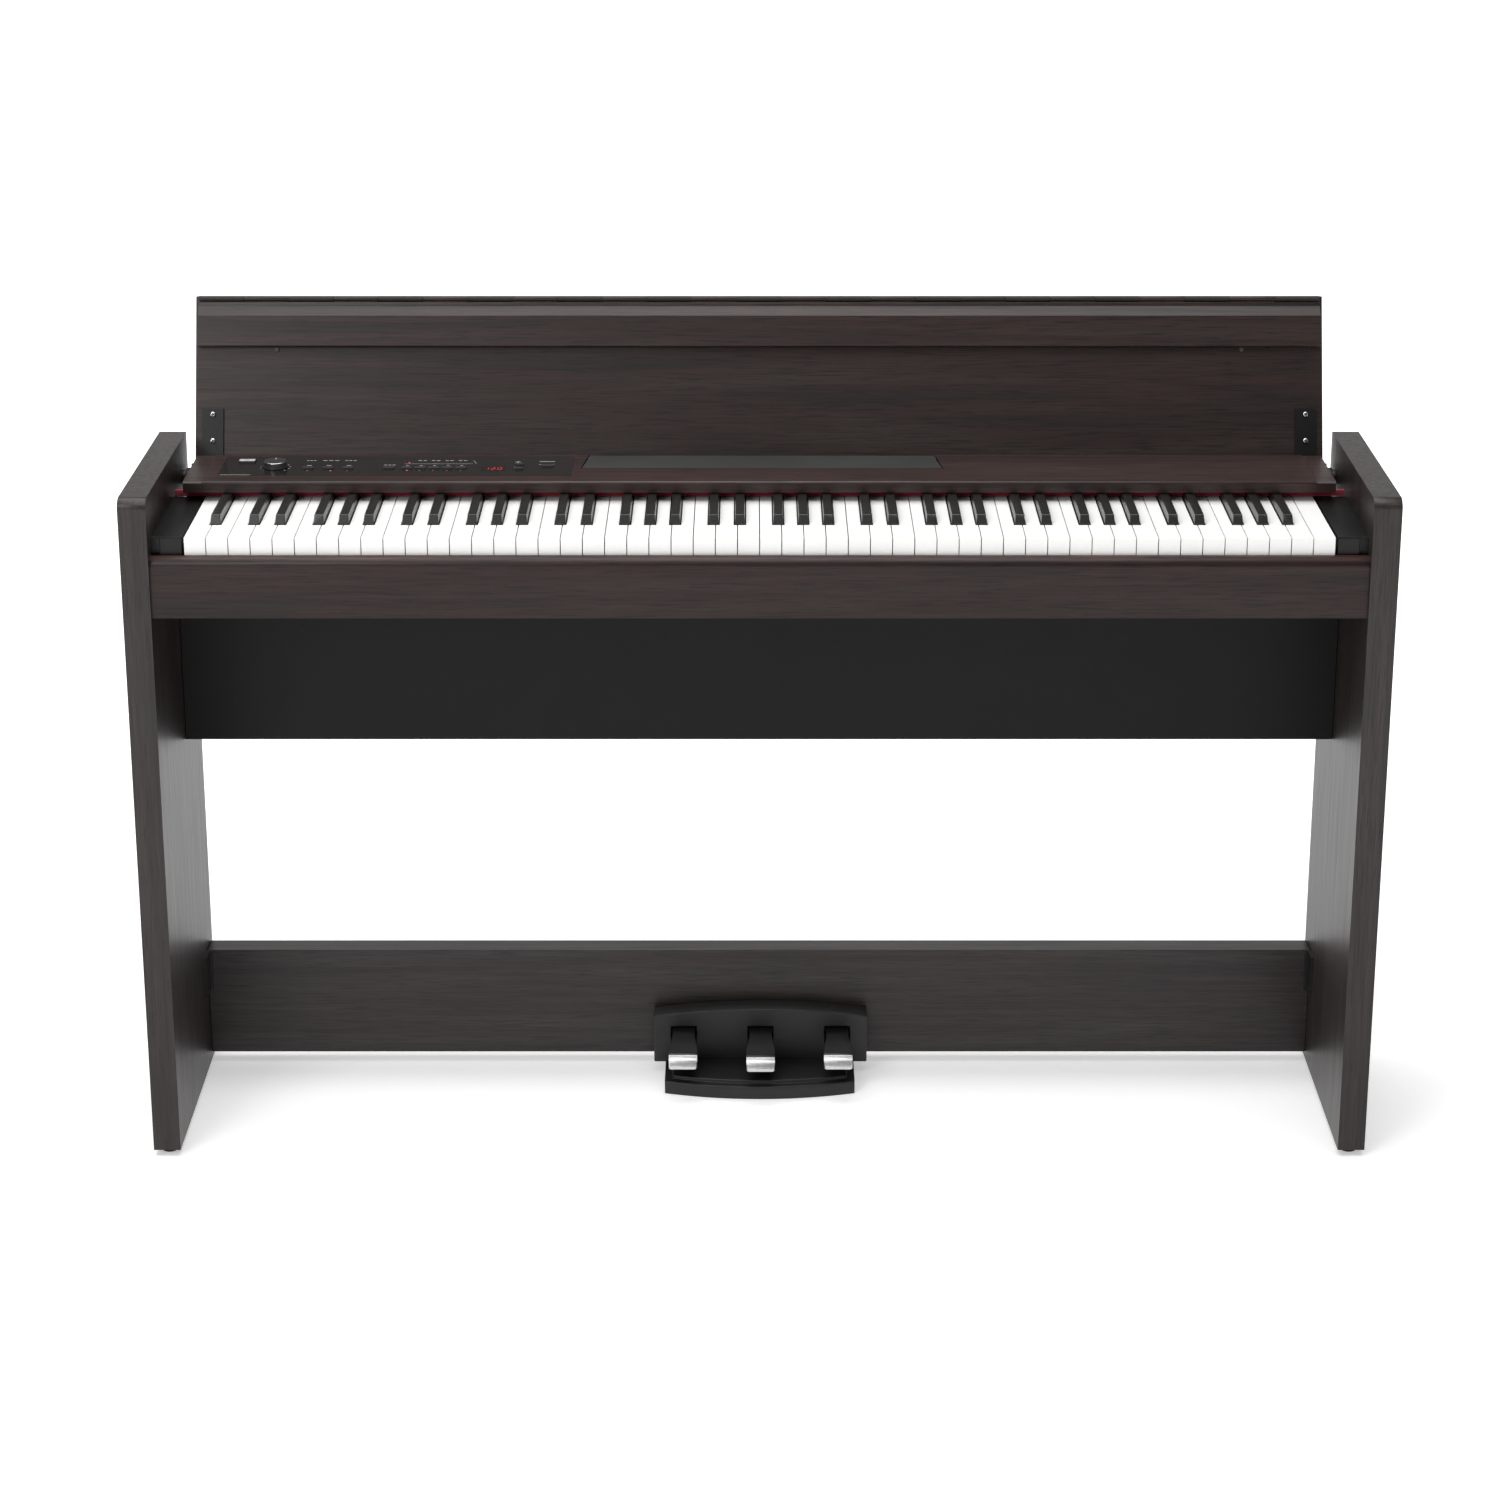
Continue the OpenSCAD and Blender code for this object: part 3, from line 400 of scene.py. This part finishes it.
def piece(name, bm, looks_used, body):
    """Makes an object of the mesh, with these looks, that rides on a body."""
    me = bpy.data.meshes.new(name)
    bm.normal_update()
    bm.to_mesh(me)
    bm.free()
    o = bpy.data.objects.new(name, me)
    bpy.context.scene.collection.objects.link(o)
    for look in looks_used:
        me.materials.append(materials[look])
    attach(o, body)
    return o


def prism(bm, outline, low, high):
    """A closed outline of (x, y) points filled between two heights."""
    bottom, top = [[bm.verts.new((x, y, z)) for x, y in outline] for z in (low, high)]
    bm.faces.new(top)
    bm.faces.new(list(reversed(bottom)))
    for i in range(len(outline)):
        j = (i + 1) % len(outline)
        bm.faces.new((bottom[i], bottom[j], top[j], top[i]))


def rounded_outline(half_a, half_b, r):
    """Points round a rectangle, with an arc of radius r at each corner."""
    points = []
    for quarter, (side_a, side_b) in enumerate(((1, 1), (-1, 1), (-1, -1), (1, -1))):
        for step in range(4):
            turn = math.radians(90 * quarter + 30 * step)
            a = side_a * (half_a - r) + r * math.cos(turn)
            b = side_b * (half_b - r) + r * math.sin(turn)
            points.append((a, b))
    return points


def stroke(bm, mid, size, low, high, turn=0.0, corner=0.5):
    """A printed dash with rounded corners; mid and size in metres, turn in degrees."""
    half_x, half_y = size[0] / 2, size[1] / 2
    points = rounded_outline(half_x, half_y, corner * min(half_x, half_y))
    c, s = math.cos(math.radians(turn)), math.sin(math.radians(turn))
    prism(bm, [(mid[0] + x * c - y * s, mid[1] + x * s + y * c) for x, y in points], low, high)


def lathe(bm, profile, matrix, segments=24):
    """A profile of (radius, height) points turned about its own Z, then moved by matrix."""
    turns = [math.tau * i / segments for i in range(segments)]
    rings = []
    for r, z in profile:
        if r == 0:
            points = [Vector((0, 0, z))]
        else:
            points = [Vector((r * math.cos(a), r * math.sin(a), z)) for a in turns]
        rings.append([bm.verts.new(matrix @ p) for p in points])
    for low, high in zip(rings, rings[1:]):
        for i in range(segments):
            j = (i + 1) % segments
            corners = [low[i % len(low)], low[j % len(low)], high[j % len(high)], high[i % len(high)]]
            f = bm.faces.new(list(dict.fromkeys(corners)))
            f.smooth = True


def screw(bm, at, facing, radius):
    """A pan-head screw with a cross recess, drawn as a dark cross: painted shade; at is the middle of its
    seat.
    """
    matrix = Matrix.Translation(at) @ facing.to_track_quat("Z", "Y").to_matrix().to_4x4()
    h = radius * 0.34
    lathe(bm, [(radius, 0), (radius * 0.97, h * 0.45), (radius * 0.72, h * 0.86), (0, h)], matrix)
    cross = bmesh.new()
    arm, width = radius * 0.52, radius * 0.17
    prism(cross, [(-arm, -width), (arm, -width), (arm, width), (-arm, width)], h * 0.5, h * 1.02)
    prism(cross, [(-width, -arm), (width, -arm), (width, arm), (-width, arm)], h * 0.5, h * 1.03)
    cross.transform(matrix)
    first = len(bm.faces)
    scrap = bpy.data.meshes.new("scrap")
    cross.to_mesh(scrap)
    cross.free()
    bm.from_mesh(scrap)
    bpy.data.meshes.remove(scrap)
    bm.faces.ensure_lookup_table()
    for f in bm.faces[first:]:
        # the cross takes the dark material: painted shade in the recess
        f.material_index = 1


sunk = 0.02 * MM                               # how far a print reaches into its surface
print_low = overlay_z - sunk
print_high = overlay_z + 0.05 * MM

# from a button's middle back to what is printed behind it, in mm
label_back = 32.0
song_label_back = 14.0
line_back = 12


def labels(name, marks):
    """One piece of printed marks; each is (x, y, width, depth, turn) in cabinet millimetres."""
    bm = bmesh.new()
    for x, y, w, d, turn in marks:
        stroke(bm, place(x, y, 0), (w * MM, d * MM), print_low, print_high, turn)
    return piece(name, bm, ["print"], "cabinet")


def cabinet_mm(v):
    """The first two of place's millimetres, for a point in metres."""
    return v.x / MM, (v.y - front_y) / MM


def label_marks(node, width, count=3, back=label_back):
    """A word-like row of short dashes behind a button."""
    x, y = cabinet_mm(centre(node))
    each = width / count
    return [(x - width / 2 + each * (i + 0.5), y + back, each * 0.72, 1.7, 0) for i in range(count)]


def button_line(node, width):
    """A short line just behind a button."""
    x, y = cabinet_mm(centre(node))
    return (x, y + line_back, width, 1.5, 0)


effects = ["touch_button", "reverb_button", "metronome_button"]
sounds = ["sound_button_%d" % (i + 1) for i in range(5)]

marks = []
for node, width in zip(effects, (11, 20, 14)):
    marks += label_marks(node, width)
marks += label_marks("song_button", 14, back=song_label_back)
for node in sounds[1:]:
    marks += label_marks(node, 11, count=2)
marks += [button_line(node, 3.2) for node in sounds]
marks += [button_line(node, 5.0) for node in effects]
labels("button_labels", marks)

last_x, last_y = cabinet_mm(centre(sounds[-1]))
first_x, first_y = cabinet_mm(centre(sounds[0]))
tempo_x, tempo_y = cabinet_mm(centre("value_up_button"))
record_x, record_y = cabinet_mm(centre("record_button"))
over_x, over_y = cabinet_mm(overlay_low)
sounds_rule = ((first_x + last_x) / 2 + 4, last_y + 19, last_x - first_x + 16, 0.6, 0)
sounds_rule_end = (last_x + 14, last_y + 26, 0.6, 12, 18)
plus_across = (tempo_x - 2.5, tempo_y + 12, 6.5, 1.1, 0)
plus_upright = (tempo_x - 2.5, tempo_y + 12, 1.3, 6.5, 0)
minus = (tempo_x - 2.5, tempo_y - 8, 6.5, 1.1, 0)
recorder_word = (record_x - 1, record_y + 20, 17, 1.6, 0)
recorder_rule = (record_x - 1, record_y + 8, 17, 1.2, 0)
# a pale line along the overlay's front-left bevel: a painted highlight
overlay_bevel_highlight = (over_x + 19, over_y + 3.2, 34, 1.0, 0)
labels("group_lines", [sounds_rule, sounds_rule_end, plus_across, plus_upright, minus,
                       recorder_word, recorder_rule, overlay_bevel_highlight])

# volume marks: an arc of dots round the knob that grow as it is turned up
knob = centre("volume_knob")
knob_x, knob_y = cabinet_mm(knob)
scale_r = 16.5
bm = bmesh.new()
for i in range(11):
    a = math.radians(225 - 27 * i)
    size = (0.8 + 0.09 * i) * MM
    at = place(knob_x + scale_r * math.cos(a), knob_y + scale_r * math.sin(a), 0)
    stroke(bm, at, (size, size), print_low, print_high, corner=0.95)
piece("volume_scale", bm, ["print"], "cabinet")

# a polished ring on the knob's rim and a pale pointer on its top
bm = bmesh.new()
ring_z = knob.z - 0.75 * MM
ring = [(12.55, -0.5), (12.75, 0.0), (12.35, 0.45), (11.9, 0.3), (11.9, -0.4), (12.55, -0.5)]
lathe(bm, [(r * MM, z * MM) for r, z in ring], Matrix.Translation((knob.x, knob.y, ring_z)), 64)
piece("knob_ring", bm, ["steel"], "knob")
bm = bmesh.new()
stroke(bm, (knob.x, knob.y + 7.5 * MM), (1.1 * MM, 5.0 * MM), knob.z - 0.3 * MM, knob.z + 0.05 * MM)
piece("knob_pointer", bm, ["pale_mark_and_painted_highlight"], "knob")

# indicator lamps: small domed lenses in front of or behind their buttons
dome = [(1.25, -0.1), (1.25, 0.12), (1.0, 0.34), (0.55, 0.5), (0.0, 0.56)]


def lamps(name, places, look):
    """One piece of lenses on the overlay, at these (x, y) in cabinet millimetres."""
    bm = bmesh.new()
    for x, y in places:
        at = place(x, y, 0)
        at.z = overlay_z
        lathe(bm, [(r * MM, z * MM) for r, z in dome], Matrix.Translation(at), 20)
    return piece(name, bm, [look], "cabinet")


touch_x, touch_y = cabinet_mm(centre(effects[0]))
reverb_x = cabinet_mm(centre(effects[1]))[0]
metronome_x = cabinet_mm(centre(effects[2]))[0]
effect_lamp_y = touch_y - 9
lit = [(reverb_x + 4, effect_lamp_y), (first_x + 1, first_y + 23), (first_x + 1, first_y - 7)]
unlit = [(touch_x, effect_lamp_y), (metronome_x, effect_lamp_y)]
unlit += [(cabinet_mm(centre(node))[0], first_y - 8) for node in sounds[1:]]
lamps("lit_lamps", lit, "lamp")
lamps("unlit_lamps", unlit, "lamp_off")

# three red seven-segment digits in the display window; each bar is (steps across, steps up, turn)
display = centre("display_window")
digit_bars = {
    "a": (0, 2, 0), "b": (1, 1, 90), "c": (1, -1, 90), "d": (0, -2, 0),
    "e": (-1, -1, 90), "f": (-1, 1, 90), "g": (0, 0, 0),
}
digits = ("bc", "abged", "abcdef")
digit_pitch = 7.2
step_across, step_up = 1.9, 2.1
slant = 0.16                                   # how far the digits lean over at each step up, in mm
slant_turn = 0.94                              # and the part of a right angle that is left
bar_size = (3.3 * MM, 0.65 * MM)
bm = bmesh.new()
for i, bars in enumerate(digits):
    for bar in bars:
        across, up, turn = digit_bars[bar]
        x = display.x + ((i - 1) * digit_pitch + across * step_across + up * slant) * MM
        y = display.y + up * step_up * MM
        stroke(bm, (x, y), bar_size, display.z - sunk, display.z + 0.04 * MM, turn * slant_turn, 0.9)
piece("display_digits", bm, ["lamp"], "cabinet")

# power mark: a pale strip across the power button, a painted highlight of light on its shiny top, and an
# open ring with a bar on it
power = centre("power_button")
mark_low, mark_high = power.z - sunk, power.z + 0.04 * MM
bm = bmesh.new()
# the pale strip is a painted highlight on the button's top
stroke(bm, power, (17.4 * MM, 8.0 * MM), power.z - 0.3 * MM, power.z + 0.03 * MM, corner=0.4)
piece("power_painted_highlight", bm, ["pale_mark_and_painted_highlight"], "power")
ring_r = 2.2 * MM
ring_dashes = 14
bm = bmesh.new()
for i in range(ring_dashes):
    a = math.radians(118 + i * 304 / (ring_dashes - 1))
    at = (power.x + ring_r * math.cos(a), power.y + ring_r * math.sin(a))
    stroke(bm, at, (1.2 * MM, 0.45 * MM), mark_low, mark_high, math.degrees(a) + 90, 0.9)
stroke(bm, (power.x, power.y + 2.0 * MM), (0.5 * MM, 2.6 * MM), mark_low, mark_high, corner=0.9)
piece("power_mark", bm, ["recess"], "power")

# screws on the lid's hinge leaves, placed from the lid's pivot along the open lid
lid_lean = math.radians(18.45)
lid_pivot = place(0, 234.2, 725.0)
lid_axes = Matrix.Translation(lid_pivot) @ Matrix.Rotation(-lid_lean, 4, "X")
towards_player = lid_axes.to_3x3() @ Vector((0, -1, 0))
leaf_x = 619                                   # from the middle out to the screws, in mm
leaf_face = 27.5                               # from the pivot to the leaf's face
bm = bmesh.new()
for side in (-1, 1):
    for up in (41.5, 71.5):
        at = lid_axes @ Vector((side * leaf_x * MM, leaf_face * MM, up * MM))
        screw(bm, at, towards_player, 3.0 * MM)
piece("leaf_screws", bm, ["steel", "recess"], "lid")

# the felt strip behind the keys: rounded top and bottom edges and a slightly uneven nap
felt_low, felt_high = [Vector(c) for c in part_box("name_felt")]
felt_mid = (felt_low + felt_high) / 2
felt_size = felt_high - felt_low
section = rounded_outline(felt_size.y / 2, felt_size.z / 2, 1.0 * MM)
bm = bmesh.new()
rings = []
lengths = 420                                  # short lengths that the nap varies over
for i in range(lengths + 1):
    x = felt_low.x + (felt_high.x - felt_low.x) * i / lengths
    ring = []
    for k, (y, z) in enumerate(section):
        nap = 1.0 - 0.035 * abs(math.sin(i * 1.7 + k * 2.3)) - 0.025 * abs(math.sin(i * 0.37 + k * 5.1))
        ring.append(bm.verts.new((x, felt_mid.y + y * nap, felt_mid.z + z * nap)))
    rings.append(ring)
for low, high in zip(rings, rings[1:]):
    for k in range(len(section)):
        j = (k + 1) % len(section)
        f = bm.faces.new((low[k], high[k], high[j], low[j]))
        f.smooth = True
bm.faces.new(list(reversed(rings[0])))
bm.faces.new(rings[-1])
bmesh.ops.recalc_face_normals(bm, faces=bm.faces)
strip = piece("felt_strip", bm, ["felt"], "cabinet")
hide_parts("name_felt")

# two rows of screws along the rear cover
cover_low, cover_high = [Vector(c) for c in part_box("rear_cover")]
columns = 9
end_gap = 30 * MM
screw_span = cover_high.x - cover_low.x - 2 * end_gap
bm = bmesh.new()
for i in range(columns):
    x = cover_low.x + end_gap + i * screw_span / (columns - 1)
    for z in (cover_low.z + 10 * MM, cover_high.z - 9 * MM):
        screw(bm, Vector((x, cover_high.y, z)), Vector((0, 1, 0)), 3.4 * MM)
piece("rear_screws", bm, ["black_steel", "recess"], "cabinet")

# collars round the headphone sockets, which face the player
bm = bmesh.new()
collar = [(3.25, -0.3), (3.25, 0.9), (4.6, 0.9), (5.6, 0.4), (5.6, 0.0), (3.25, -0.3)]
facing_front = Matrix.Rotation(math.radians(90), 4, "X")
for mount in frame["record"]["mounts"]:
    if mount["name"].startswith("headphone"):
        where = Matrix.Translation(Vector(mount["pos_m"])) @ facing_front
        lathe(bm, [(r * MM, z * MM) for r, z in collar], where, 32)
piece("socket_collars", bm, ["steel"], "cabinet")

# ---------------------------------------------------------------- floor, light and camera

near_and_far = (1.0, 3.5)                      # metres from the middle of the floor
glow_near_and_far = (0.38, 1.0)                # and the light that the floor gives off there


def add_floor():
    """A plain white floor that gives off a little light of its own, as a lit studio sweep does."""
    m, nt, sh = new_material("studio_floor")
    fine = noise(nt, coords(nt), 3.0, 2.0)
    nt.links.new(ramp(nt, fine, [(0.3, grey(0.86)), (0.7, grey(0.88))]), sh.inputs["Base Color"])
    sh.inputs["Roughness"].default_value = 0.7
    reach = nt.nodes.new("ShaderNodeVectorMath")
    reach.operation = "LENGTH"
    nt.links.new(coords(nt), reach.inputs[0])
    brightness = map_range(nt, reach.outputs["Value"], near_and_far, glow_near_and_far)
    sh.inputs["Emission Color"].default_value = (1.0, 1.0, 1.0, 1.0)
    nt.links.new(brightness, sh.inputs["Emission Strength"])
    half = 14.0
    corners = [(-half, -half, 0), (half, -half, 0), (half, half, 0), (-half, half, 0)]
    me = bpy.data.meshes.new("floor")
    me.from_pydata(corners, [], [(0, 1, 2, 3)])
    o = bpy.data.objects.new("floor", me)
    bpy.context.scene.collection.objects.link(o)
    me.materials.append(m)


def area_light(name, at, aim, size, power):
    """A rectangular light at one place, aimed at another; metres and watts."""
    data = bpy.data.lights.new(name, "AREA")
    data.shape = "RECTANGLE"
    data.size, data.size_y = size
    data.energy = power
    o = bpy.data.objects.new(name, data)
    bpy.context.scene.collection.objects.link(o)
    o.location = at
    o.rotation_euler = (Vector(aim) - Vector(at)).to_track_quat("-Z", "Y").to_euler()


def studio_world(seen, cast):
    """A white surround that lights the object less than it shows behind it."""
    world = bpy.data.worlds.new("studio")
    world.use_nodes = True
    nt = world.node_tree
    background = nt.nodes["Background"]
    background.inputs["Color"].default_value = (1.0, 1.0, 1.0, 1.0)
    path = nt.nodes.new("ShaderNodeLightPath")
    strength = map_range(nt, path.outputs["Is Camera Ray"], to_range=(cast, seen))
    nt.links.new(strength, background.inputs["Strength"])
    bpy.context.scene.world = world


add_floor()
studio_world(seen=1.0, cast=0.22)
area_light("top_light", (-0.3, -0.1, 3.6), (0, 0, 0.4), (4.5, 3.5), 165)
area_light("left_light", (-2.3, -3.3, 2.5), (-0.6, 0, 0.8), (1.5, 1.5), 55)
area_light("back_light", (0, 2.6, 1.0), (0, 0.1, 0.2), (4.0, 1.0), 13)
bpy.context.scene.view_settings.view_transform = "Standard"

camera_pitch = 16.935                          # degrees below level
camera_data = bpy.data.cameras.new("camera")
camera_data.lens = 79.33
camera_data.sensor_width = 36.0
camera_data.shift_y = -0.16
camera = bpy.data.objects.new("camera", camera_data)
bpy.context.scene.collection.objects.link(camera)
camera.location = place(-10.3, -3330.9, 1771.2)
camera.rotation_euler = (math.radians(90.0 - camera_pitch), 0.0, 0.0)
bpy.context.scene.camera = camera
